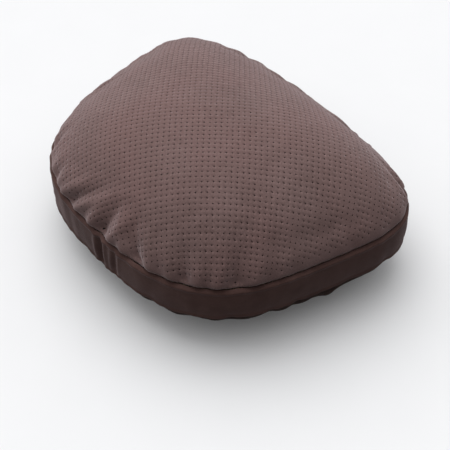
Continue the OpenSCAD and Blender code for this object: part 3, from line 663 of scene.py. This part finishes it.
class Finish:
    """One procedural material. Its textures read the piece's own coordinates, in metres."""

    def __init__(self, name, rough=0.5, **plain):
        self.material = bpy.data.materials.new(name)
        self.material.use_nodes = True
        self.tree = self.material.node_tree
        self.tree.nodes.clear()
        out = self.tree.nodes.new("ShaderNodeOutputMaterial")
        self.shader = self.tree.nodes.new("ShaderNodeBsdfPrincipled")
        self.tree.links.new(self.shader.outputs[0], out.inputs[0])
        self.shader.inputs["Roughness"].default_value = rough
        for socket, value in plain.items():
            self.shader.inputs[socket.replace("_", " ")].default_value = value
        self.at = self.tree.nodes.new("ShaderNodeTexCoord").outputs["Object"]
        self.normal = None

    def node(self, kind, inputs, **settings):
        n = self.tree.nodes.new("ShaderNode" + kind)
        for key, value in settings.items():
            setattr(n, key, value)
        for key, value in inputs.items():
            if isinstance(value, bpy.types.NodeSocket):
                self.tree.links.new(value, n.inputs[key])
            else:
                n.inputs[key].default_value = value
        return n

    def place(self, stretch=(1, 1, 1), turn=(0, 0, 0)):
        turn = tuple(math.radians(a) for a in turn)
        return self.node("Mapping", {"Vector": self.at, "Scale": stretch, "Rotation": turn}).outputs[0]

    def noise(self, size_mm, detail=3.0, stretch=(1, 1, 1), turn=(0, 0, 0), distort=0.0):
        return self.node("TexNoise", {"Vector": self.place(stretch, turn), "Scale": 1000 / size_mm,
                                      "Detail": detail, "Distortion": distort}).outputs[0]

    def cells(self, size_mm, feature="F1"):
        inputs = {"Vector": self.place(), "Scale": 1000 / size_mm}
        n = self.node("TexVoronoi", inputs, feature=feature)
        return n.outputs["Distance"]

    def bands(self, pitch_mm, direction="X", distort=0.0, turn=(0, 0, 0)):
        return self.node("TexWave", {"Vector": self.place(turn=turn), "Scale": 1000 / pitch_mm / 3.18,
                                     "Distortion": distort}, bands_direction=direction).outputs["Fac"]

    def level(self, value, low, high, to_low=0.0, to_high=1.0):
        return self.node("MapRange", {"Value": value, "From Min": low, "From Max": high,
                                      "To Min": to_low, "To Max": to_high}).outputs[0]

    def math(self, how, a, b):
        return self.node("Math", {0: a, 1: b}, operation=how).outputs[0]

    def mix(self, share, a, b, how="MIX"):
        n = self.tree.nodes.new("ShaderNodeMix")
        n.data_type = "RGBA"
        n.blend_type = how
        for socket, value in ((n.inputs[0], share), (n.inputs[6], a), (n.inputs[7], b)):
            if isinstance(value, bpy.types.NodeSocket):
                self.tree.links.new(value, socket)
            elif socket == n.inputs[0]:
                socket.default_value = value
            else:
                socket.default_value = (*value, 1) if len(value) == 3 else value
        return n.outputs[2]

    def colour(self, socket):
        self.tree.links.new(socket, self.shader.inputs["Base Color"])
        return self

    def roughness(self, socket):
        self.tree.links.new(socket, self.shader.inputs["Roughness"])
        return self

    def bump(self, height, depth_mm, strength=1.0):
        inputs = {"Height": height, "Distance": depth_mm * MM, "Strength": strength}
        if self.normal is not None:
            inputs["Normal"] = self.normal
        self.normal = self.node("Bump", inputs).outputs[0]
        self.tree.links.new(self.normal, self.shader.inputs["Normal"])
        return self


def suede(name, dark, light, warm, nap_mm, dust):
    """Brushed microfibre: a short uneven nap, soft mottling and a dusty sheen at grazing angles."""
    f = Finish(name, Sheen_Weight=dust, Sheen_Roughness=0.42, Sheen_Tint=(0.85, 0.72, 0.74, 1),
               Specular_IOR_Level=0.12)
    blotch = f.level(f.noise(22, 4.0, distort=0.6), 0.32, 0.68)
    nap = f.level(f.noise(nap_mm, 5.0, stretch=(1, 0.6, 1), turn=(0, 0, 49)), 0.30, 0.70)
    tone = f.mix(blotch, dark, light)
    tone = f.mix(f.level(f.noise(70, 2.0), 0.35, 0.65, 0.0, 0.55), tone, warm)
    speck = f.mix(nap, (0.72, 0.70, 0.70), (1.22, 1.24, 1.24))
    f.colour(f.mix(1.0, tone, speck, "MULTIPLY"))
    f.roughness(f.level(nap, 0, 1, 0.84, 0.96))
    f.bump(f.noise(7, 4.0), 0.5, 0.30)
    f.bump(f.noise(nap_mm * 0.8, 4.0), 0.22, 0.55)
    return f.material


def woven(name, dark, light, thread_mm, sheen=0.15, turn=0):
    """Plain weave: threads over and under each other, with slubs."""
    f = Finish(name, Sheen_Weight=sheen, Sheen_Roughness=0.4, Sheen_Tint=(0.8, 0.62, 0.58, 1),
               Specular_IOR_Level=0.12)
    warp = f.bands(thread_mm, "X", 0.4, (0, 0, turn))
    weft = f.bands(thread_mm, "Y", 0.4, (0, 0, turn))
    upright = f.bands(thread_mm, "Z", 0.3)
    weave = f.math("MULTIPLY", f.math("ADD", warp, weft), f.math("ADD", upright, 0.5))
    slub = f.level(f.noise(3.5, 3.0, stretch=(1, 5, 1)), 0.3, 0.7)
    tone = f.mix(f.level(weave, 0.3, 2.2), dark, light)
    f.colour(f.mix(1.0, tone, f.mix(slub, (0.75, 0.75, 0.75), (1.25, 1.25, 1.25)), "MULTIPLY"))
    f.roughness(f.level(slub, 0, 1, 0.72, 0.92))
    f.bump(weave, 0.18, 0.7)
    f.bump(f.noise(0.4, 3.0), 0.08, 0.5)
    return f.material


def moulded(name, colour, rough=0.45, grain_mm=0.5, depth_mm=0.03, lift=1.35, **plain):
    """Moulded plastic or rubber: a fine spark-eroded grain, slight flow marks and worn high spots."""
    f = Finish(name, **plain)
    dark = tuple(c * 0.82 for c in colour)
    light = tuple(min(c * lift, 1) for c in colour)
    f.colour(f.mix(f.level(f.noise(14, 4.0, stretch=(1, 1, 2.5)), 0.3, 0.7), dark, light))
    f.roughness(f.level(f.noise(5, 4.0), 0.3, 0.7, rough - 0.07, rough + 0.09))
    f.bump(f.noise(grain_mm, 3.0), depth_mm, 0.6)
    f.bump(f.noise(9, 2.0), 0.05, 0.3)
    return f.material


def metal(name, colour, rough=0.3, along=(1, 1, 14), scratch_mm=0.6, pores=0.0):
    """Machined or plated metal: fine tool marks, dull patches and small pits."""
    f = Finish(name, Metallic=1.0)
    dark = tuple(c * 0.72 for c in colour)
    f.colour(f.mix(f.level(f.noise(6, 5.0), 0.3, 0.7), dark, colour))
    marks = f.noise(scratch_mm, 4.0, stretch=along)
    f.roughness(f.level(marks, 0.3, 0.7, rough - 0.08, rough + 0.14))
    f.bump(marks, 0.02, 0.5)
    if pores:
        f.bump(f.level(f.cells(pores), 0.0, 0.35), 0.06, 0.6)
    return f.material


def enamel(name, colour):
    """Lacquered zinc with an orange-peel skin and rubbed spots where the metal shows."""
    f = Finish(name, rough=0.35, Metallic=0.85, Coat_Weight=0.3, Coat_Roughness=0.15)
    rub = f.level(f.noise(1.6, 5.0), 0.60, 0.72)
    f.colour(f.mix(rub, colour, (0.62, 0.60, 0.57)))
    f.roughness(f.level(f.noise(0.9, 4.0), 0.3, 0.7, 0.26, 0.46))
    f.bump(f.noise(0.8, 3.0), 0.04, 0.5)
    return f.material


def open_foam(name, colour, cell_mm, depth_mm):
    """Open-cell foam: a fine net of pores over soft yellowed patches, with painted shade darkening the pit
    of each pore.
    """
    f = Finish(name, rough=0.95, Specular_IOR_Level=0.1)
    pore = f.level(f.cells(cell_mm), 0.1, 0.6)
    tone = f.mix(f.level(f.noise(30, 3.0), 0.3, 0.7), tuple(c * 0.86 for c in colour), colour)
    # Painted shade: where the pore mask sinks the bump, the colour falls to 0.55 of the foam's.
    f.colour(f.mix(pore, tuple(c * 0.55 for c in colour), tone))
    f.bump(pore, depth_mm, 0.8)
    return f.material


def fibre_fill(name):
    """Polyester wadding: matted crossing fibres."""
    f = Finish(name, rough=0.95, Sheen_Weight=0.3, Specular_IOR_Level=0.15)
    one = f.noise(1.2, 5.0, stretch=(1, 7, 3), turn=(0, 0, 30), distort=1.2)
    two = f.noise(1.0, 5.0, stretch=(7, 1, 3), turn=(0, 0, 10), distort=1.2)
    mat = f.math("MULTIPLY", one, two)
    f.colour(f.mix(f.level(mat, 0.12, 0.40), (0.55, 0.54, 0.50), (0.86, 0.85, 0.81)))
    f.bump(mat, 0.8, 0.8)
    return f.material


def windings(name):
    """Enamelled copper wire between dark laminations."""
    f = Finish(name, Metallic=0.7, rough=0.35)
    wire = f.bands(0.5, "Z", 0.6)
    plate = f.bands(1.1, "Y", 0.0)
    tone = f.mix(wire, (0.16, 0.05, 0.02), (0.55, 0.22, 0.08))
    f.colour(f.mix(f.level(plate, 0.4, 0.6), tone, (0.16, 0.15, 0.15)))
    f.roughness(f.level(f.noise(2, 3.0), 0.3, 0.7, 0.28, 0.5))
    f.bump(wire, 0.12, 0.8)
    return f.material


def circuit_board(name):
    """Green solder mask over faint copper paths and glass weave."""
    f = Finish(name, rough=0.3, Coat_Weight=0.5, Coat_Roughness=0.12)
    path = f.level(f.cells(4.5, "DISTANCE_TO_EDGE"), 0.03, 0.06)
    weave = f.math("ADD", f.bands(0.6, "X"), f.bands(0.6, "Z"))
    tone = f.mix(path, (0.03, 0.20, 0.07), (0.010, 0.085, 0.030))
    f.colour(f.mix(f.level(weave, 0, 2, 0.0, 0.25), tone, (0.03, 0.15, 0.06)))
    f.bump(path, 0.04, 0.7)
    f.roughness(f.level(f.noise(3, 3.0), 0.3, 0.7, 0.22, 0.42))
    return f.material


def lamp_lens(name):
    """Milky light guide with fine ribs and a faint blue cast."""
    f = Finish(name, rough=0.22, Transmission_Weight=0.45, IOR=1.49)
    rib = f.bands(0.7, "Z")
    f.colour(f.mix(rib, (0.50, 0.66, 0.92), (0.72, 0.84, 1.0)))
    f.roughness(f.level(f.noise(1.5, 3.0), 0.3, 0.7, 0.15, 0.32))
    f.bump(rib, 0.05, 0.5)
    return f.material


MATERIALS = {
    "suede_mesh": suede("suede_mesh", (0.150, 0.096, 0.090), (0.180, 0.117, 0.111),
                        (0.177, 0.104, 0.098), 0.5, 0.56),
    "suede_plain": suede("suede_plain", (0.070, 0.037, 0.032), (0.110, 0.062, 0.055),
                         (0.094, 0.049, 0.042), 0.45, 0.28),
    "rear_cloth": woven("rear_cloth", (0.030, 0.017, 0.015), (0.070, 0.042, 0.037), 0.9, 0.12, 45),
    "wadding": fibre_fill("wadding"),
    "foam": open_foam("foam", (0.74, 0.66, 0.42), 1.1, 0.5),
    "zip_tape": woven("zip_tape", (0.014, 0.010, 0.009), (0.048, 0.034, 0.032), 0.55, 0.1),
    "zip_teeth": moulded("zip_teeth", (0.028, 0.020, 0.019), 0.32, 0.3, 0.02, Specular_IOR_Level=0.6),
    "zip_metal": enamel("zip_metal", (0.20, 0.18, 0.17)),
    "shell_plastic": moulded("shell_plastic", (0.026, 0.026, 0.030), 0.48, 0.6, 0.04),
    "screw_steel": metal("screw_steel", (0.50, 0.50, 0.51), 0.30),
    "bronze": metal("bronze", (0.50, 0.33, 0.15), 0.42, pores=0.5),
    "washer_steel": metal("washer_steel", (0.58, 0.58, 0.56), 0.28, (1, 1, 1), 0.4),
    "motor_steel": metal("motor_steel", (0.52, 0.54, 0.56), 0.34, (14, 1, 14), 0.5),
    "motor_plastic": moulded("motor_plastic", (0.018, 0.018, 0.020), 0.5),
    "magnet": moulded("magnet", (0.060, 0.060, 0.066), 0.62, 0.35, 0.05),
    "armature": windings("armature"),
    "shaft_steel": metal("shaft_steel", (0.64, 0.66, 0.68), 0.22, (1, 1, 22), 0.4),
    "bracket_steel": metal("bracket_steel", (0.34, 0.35, 0.37), 0.38, (10, 1, 1), 0.7),
    "damper_rubber": moulded("damper_rubber", (0.012, 0.012, 0.012), 0.78, 0.4, 0.05, 1.6),
    "cutout": moulded("cutout", (0.66, 0.62, 0.54), 0.4, 0.6, 0.03, 1.1),
    "gear_plastic": moulded("gear_plastic", (0.74, 0.71, 0.62), 0.38, 0.8, 0.03, 1.1, Subsurface_Weight=0.08,
                            Subsurface_Scale=0.002),
    "carrier_plastic": moulded("carrier_plastic", (0.62, 0.58, 0.48), 0.42, 0.8, 0.03, 1.12),
    "arm_plastic": moulded("arm_plastic", (0.055, 0.055, 0.062), 0.46, 0.5, 0.04),
    "head_rubber": moulded("head_rubber", (0.10, 0.10, 0.11), 0.66, 0.5, 0.05, 1.2),
    "cap_plastic": moulded("cap_plastic", (0.17, 0.17, 0.19), 0.34),
    "bezel_plastic": moulded("bezel_plastic", (0.016, 0.015, 0.016), 0.42, 0.4, 0.04, 1.5),
    "button_plastic": moulded("button_plastic", (0.10, 0.10, 0.11), 0.36, 0.35, 0.03, 1.25),
    "light_pipe": lamp_lens("light_pipe"),
    "switch_plastic": moulded("switch_plastic", (0.016, 0.016, 0.018), 0.45),
    "plunger_plastic": moulded("plunger_plastic", (0.66, 0.66, 0.64), 0.4, lift=1.1),
    "jack_plastic": moulded("jack_plastic", (0.011, 0.011, 0.012), 0.4),
    "board": circuit_board("board"),
    "board_parts": moulded("board_parts", (0.022, 0.022, 0.024), 0.4, 0.5, 0.04, 1.6),
    "lead_insulation": moulded("lead_insulation", (0.24, 0.012, 0.010), 0.42, 0.4, 0.02, 1.2),
    "lining": woven("lining", (0.006, 0.005, 0.005), (0.018, 0.013, 0.012), 0.6, 0.0),
    "thread": moulded("thread", (0.060, 0.042, 0.040), 0.8, 0.2, 0.08, 1.4),
}

SLOT_OF = {part["node"]: part["material_slot"] for part in frame["record"]["subparts"]}
for node, thing in frame["nodes"].items():
    thing.data.materials.clear()
    thing.data.materials.append(MATERIALS[SLOT_OF[node]])

# ---- covers ----

# The lining material is also painted shade on the front cover's hole walls.
front_cover = perforated_panel(MATERIALS["suede_mesh"], MATERIALS["lining"])
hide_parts("front_panel")
lining = front_lining(MATERIALS["lining"])
band = band_cover(MATERIALS["suede_plain"])
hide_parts("side_band")
rear = rear_cover(MATERIALS["rear_cloth"])
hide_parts("rear_panel")

# ---- zip ----


def on_zip(angle, radius, z):
    """A point on the zip's curved path, by its angle from the middle."""
    return (math.sin(angle) * radius, ZIP_CENTRE_Y + math.cos(angle) * radius, z)


def tube(points, radius, sides=6):
    """Vertices and faces of a thin tube along points."""
    points = [Vector(p) for p in points]
    verts, faces = [], []
    side = None
    for i, p in enumerate(points):
        ahead = points[min(i + 1, len(points) - 1)] - points[max(i - 1, 0)]
        ahead.normalize()
        if side is None:
            side = ahead.orthogonal().normalized()
        side = (side - ahead * side.dot(ahead)).normalized()
        other = ahead.cross(side)
        for k in range(sides):
            a = 2 * math.pi * k / sides
            verts.append(p + (side * math.cos(a) + other * math.sin(a)) * radius)
    for i in range(len(points) - 1):
        for k in range(sides):
            a, b = i * sides + k, i * sides + (k + 1) % sides
            faces.append((a, b, b + sides, a + sides))
    faces.append(tuple(range(sides))[::-1])
    last = (len(points) - 1) * sides
    faces.append(tuple(range(last, last + sides)))
    return verts, faces


def gather(parts):
    """Joins lists of (vertices, faces) into one."""
    verts, faces = [], []
    for v, f in parts:
        base = len(verts)
        verts += list(v)
        faces += [tuple(i + base for i in face) for face in f]
    return verts, faces


def zip_coils():
    """Two nylon coils that hook into each other along the zip."""
    parts = []
    turns = int(2 * ZIP_HALF * ZIP_R / (1.5 * MM))
    for sign, phase in ((1, 0.0), (-1, math.pi)):
        path = []
        for i in range(turns * 12 + 1):
            share = i / (turns * 12)
            a = -ZIP_HALF + 2 * ZIP_HALF * share
            w = 2 * math.pi * i / 12 + phase
            reach = 0.62 * MM * math.cos(w) + sign * 0.30 * MM
            path.append(on_zip(a, ZIP_R + 0.95 * MM + 0.48 * MM * math.sin(w), BAND_MID + reach))
        parts.append(tube(path, 0.27 * MM, 5))
    return gather(parts)


coil = new_piece("zip_coils", *zip_coils(), MATERIALS["zip_teeth"])
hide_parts("zip_coil")


def zip_welts():
    """Folded edges of the band's cloth that cover the outer parts of the zip's tapes."""
    parts = []
    section = [(0.3, -0.7), (1.15, -0.8), (1.7, -0.2), (1.75, 0.7), (1.45, 1.8), (1.3, 3.0),
               (1.4, 4.6), (1.25, 6.4), (0.5, 7.3), (-0.4, 7.2), (-0.4, 3)]
    steps = 160
    reach = ZIP_HALF + 0.004
    for sign in (1, -1):
        verts = []
        for i in range(steps + 1):
            a = -reach + 2 * reach * i / steps
            ends = min(1, 10 * (1 - abs(a) / reach))
            wave = 0.22 * math.sin(a * 260 + sign) + 0.12 * math.sin(a * 610)
            for r, z in section:
                out = r * (0.6 + 0.4 * ends) + (wave * 0.35 if r > 1 else 0)
                verts.append(on_zip(a, ZIP_R + out * MM, BAND_MID + sign * (4.6 + wave * 0.6 + z) * MM))
        n = len(section)
        faces = []
        for i in range(steps):
            for k in range(n):
                quad = (i * n + k, i * n + (k + 1) % n, (i + 1) * n + (k + 1) % n, (i + 1) * n + k)
                faces.append(quad if sign > 0 else quad[::-1])
        cap = tuple(range(n))
        last = tuple(range(steps * n, steps * n + n))
        faces += [cap[::-1], last] if sign > 0 else [cap, last[::-1]]
        parts.append((verts, faces))
    return gather(parts)


welts = new_piece("zip_welts", *zip_welts(), MATERIALS["suede_plain"])


def zip_stitches():
    """A row of thread stitches along each welt and a bar tack at each end of the zip."""
    parts = []
    pitch = 3.0 * MM
    count = int(2 * ZIP_HALF * ZIP_R / pitch)
    for sign in (1, -1):
        for i in range(count):
            a = -ZIP_HALF + (i + 0.5) * pitch
            run = [-0.36, -0.30, -0.12, 0.12, 0.30, 0.36]
            high = [0.9, 1.35, 1.6, 1.6, 1.35, 0.9]
            level = BAND_MID + sign * 7.6 * MM
            path = [on_zip(a + u * pitch, ZIP_R + h * MM, level) for u, h in zip(run, high)]
            parts.append(tube(path, 0.2 * MM))
    for end in (-1, 1):
        for k in range(7):
            z = BAND_MID + (k - 3) * 0.9 * MM
            a = end * (ZIP_HALF - 0.0012)
            tack = ((-1.5, 0.8), (-1.2, 2.0), (1.2, 2.0), (1.5, 0.8))
            path = [on_zip(a + u * MM, ZIP_R + h * MM, z) for u, h in tack]
            parts.append(tube(path, 0.24 * MM))
    return gather(parts)


stitches = new_piece("zip_stitches", *zip_stitches(), MATERIALS["thread"])

# ---- soft filling ----


def soften(node, name, voxel_mm, lump_mm, seed, tuck=0.0):
    """A rounded, slightly lumpy stand-in for a plain soft solid.

    Its outer part is drawn in towards the middle by a share, tuck, to leave room for the seam's folds.
    """
    mesh = frame["nodes"][node].data.copy()
    mesh.name = name
    piece = bpy.data.objects.new(name, mesh)
    bpy.context.scene.collection.objects.link(piece)
    remesh = piece.modifiers.new("Remesh", "REMESH")
    remesh.mode = "VOXEL"
    remesh.voxel_size = voxel_mm * MM
    smooth = piece.modifiers.new("Smooth", "SMOOTH")
    smooth.factor = 0.5
    smooth.iterations = 6
    bake(piece)
    data = piece.data
    co = np.empty(len(data.vertices) * 3)
    data.vertices.foreach_get("co", co)
    co = co.reshape(-1, 3)
    normal = np.empty(len(data.vertices) * 3)
    data.vertices.foreach_get("normal", normal)
    normal = normal.reshape(-1, 3)
    r = random.Random(seed)
    lump = np.zeros(len(co))
    for _ in range(7):
        k = np.array([r.uniform(-1, 1) for _ in range(3)])
        k *= r.uniform(90, 260) / np.linalg.norm(k)
        lump += np.sin(co @ k + r.uniform(0, 6.3))
    depth = (lump / 7 + 1) * 0.5 * lump_mm * MM
    co -= normal * (depth + 0.3 * MM)[:, None]
    share = np.hypot(co[:, 0], co[:, 1]) / reach_to(OUTLINE, co)
    co[:, :2] *= 1 - tuck * ease((share[:, None] - 0.6) / 0.4)
    data.vertices.foreach_set("co", co.reshape(-1))
    data.update()
    data.polygons.foreach_set("use_smooth", [True] * len(data.polygons))
    data.materials.clear()
    data.materials.append(MATERIALS[SLOT_OF[node]])
    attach(piece, "cushion")
    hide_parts(node)
    return piece


soften("front_wadding", "wadding_layer", 3.5, 1.0, 21, tuck=0.07)
soften("foam_surround", "foam_ring", 3.5, 0.6, 22, tuck=0.04)
soften("rear_foam", "foam_base", 2.0, 0.3, 23)

# ---- floor, light and camera ----


def floor_material():
    """Pale to the camera, but it throws little light back up at the cushion."""
    f = Finish("floor", rough=0.9, Specular_IOR_Level=0.05, Emission_Color=(1, 1, 1, 1),
               Emission_Strength=0.05)
    pale = f.mix(f.level(f.noise(60, 3.0), 0.3, 0.7), (0.780, 0.783, 0.792), (0.790, 0.793, 0.802))
    seen = f.tree.nodes.new("ShaderNodeLightPath").outputs["Is Camera Ray"]
    f.colour(f.mix(seen, (0.20, 0.20, 0.20), pale))
    return f.material


def floor():
    """A wide flat floor at the height of the table."""
    half = 6.0
    corners = [(-half, -half, 0), (half, -half, 0), (half, half, 0), (-half, half, 0)]
    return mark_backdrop(new_piece("floor", corners, [(0, 1, 2, 3)], floor_material(), body=None))


floor()

AZIMUTH, ELEVATION = math.radians(49.8), math.radians(45.0)
LEVEL = Vector((math.sin(AZIMUTH), -math.cos(AZIMUTH), 0))
BACK = LEVEL * math.cos(ELEVATION) + Vector((0, 0, math.sin(ELEVATION)))
RIGHT = Vector((math.cos(AZIMUTH), math.sin(AZIMUTH), 0))
UP = BACK.cross(RIGHT)
FAR = Vector((-math.sin(AZIMUTH), math.cos(AZIMUTH), 0))
TARGET = Vector((0, 0, 0.053))

camera = bpy.data.objects.new("camera", bpy.data.cameras.new("camera"))
bpy.context.scene.collection.objects.link(camera)
camera.data.sensor_width = 36
camera.data.lens = 90.7
camera.data.clip_start, camera.data.clip_end = 0.05, 30
camera.location = TARGET + BACK * 1.066
aim = TARGET + RIGHT * 0.0122 - UP * 0.0432
camera.rotation_mode = "QUATERNION"
camera.rotation_quaternion = (aim - camera.location).to_track_quat("-Z", "Y")
bpy.context.scene.camera = camera

SKY = (FAR * 0.55 + Vector((0, 0, 1)) - RIGHT * 0.20).normalized()
sun = bpy.data.lights.new("window", "SUN")
sun.energy = 1.46
sun.angle = math.radians(60)
sun_holder = bpy.data.objects.new("window", sun)
bpy.context.scene.collection.objects.link(sun_holder)
sun_holder.rotation_mode = "QUATERNION"
sun_holder.rotation_quaternion = SKY.to_track_quat("Z", "Y")


def studio_sky(dim, bright):
    """A pale surround that brightens smoothly towards the window side."""
    world = bpy.data.worlds.new("studio")
    world.use_nodes = True
    tree = world.node_tree
    back = tree.nodes["Background"]
    back.inputs[0].default_value = (0.985, 0.987, 0.993, 1)
    at = tree.nodes.new("ShaderNodeTexCoord")
    dot = tree.nodes.new("ShaderNodeVectorMath")
    dot.operation = "DOT_PRODUCT"
    dot.inputs[1].default_value = SKY
    ramp = tree.nodes.new("ShaderNodeMapRange")
    ramp.interpolation_type = "SMOOTHSTEP"
    ramp.inputs["From Min"].default_value = -0.1
    ramp.inputs["From Max"].default_value = 1.0
    ramp.inputs["To Min"].default_value = dim
    ramp.inputs["To Max"].default_value = bright
    tree.links.new(at.outputs["Generated"], dot.inputs[0])
    tree.links.new(dot.outputs["Value"], ramp.inputs["Value"])
    seen = tree.nodes.new("ShaderNodeLightPath").outputs["Is Camera Ray"]
    wall = tree.nodes.new("ShaderNodeMix")
    tree.links.new(seen, wall.inputs[0])
    tree.links.new(ramp.outputs[0], wall.inputs[2])
    wall.inputs[3].default_value = 0.92
    tree.links.new(wall.outputs[0], back.inputs[1])
    bpy.context.scene.world = world


studio_sky(0.06, 1.15)
bpy.context.scene.view_settings.view_transform = "Standard"
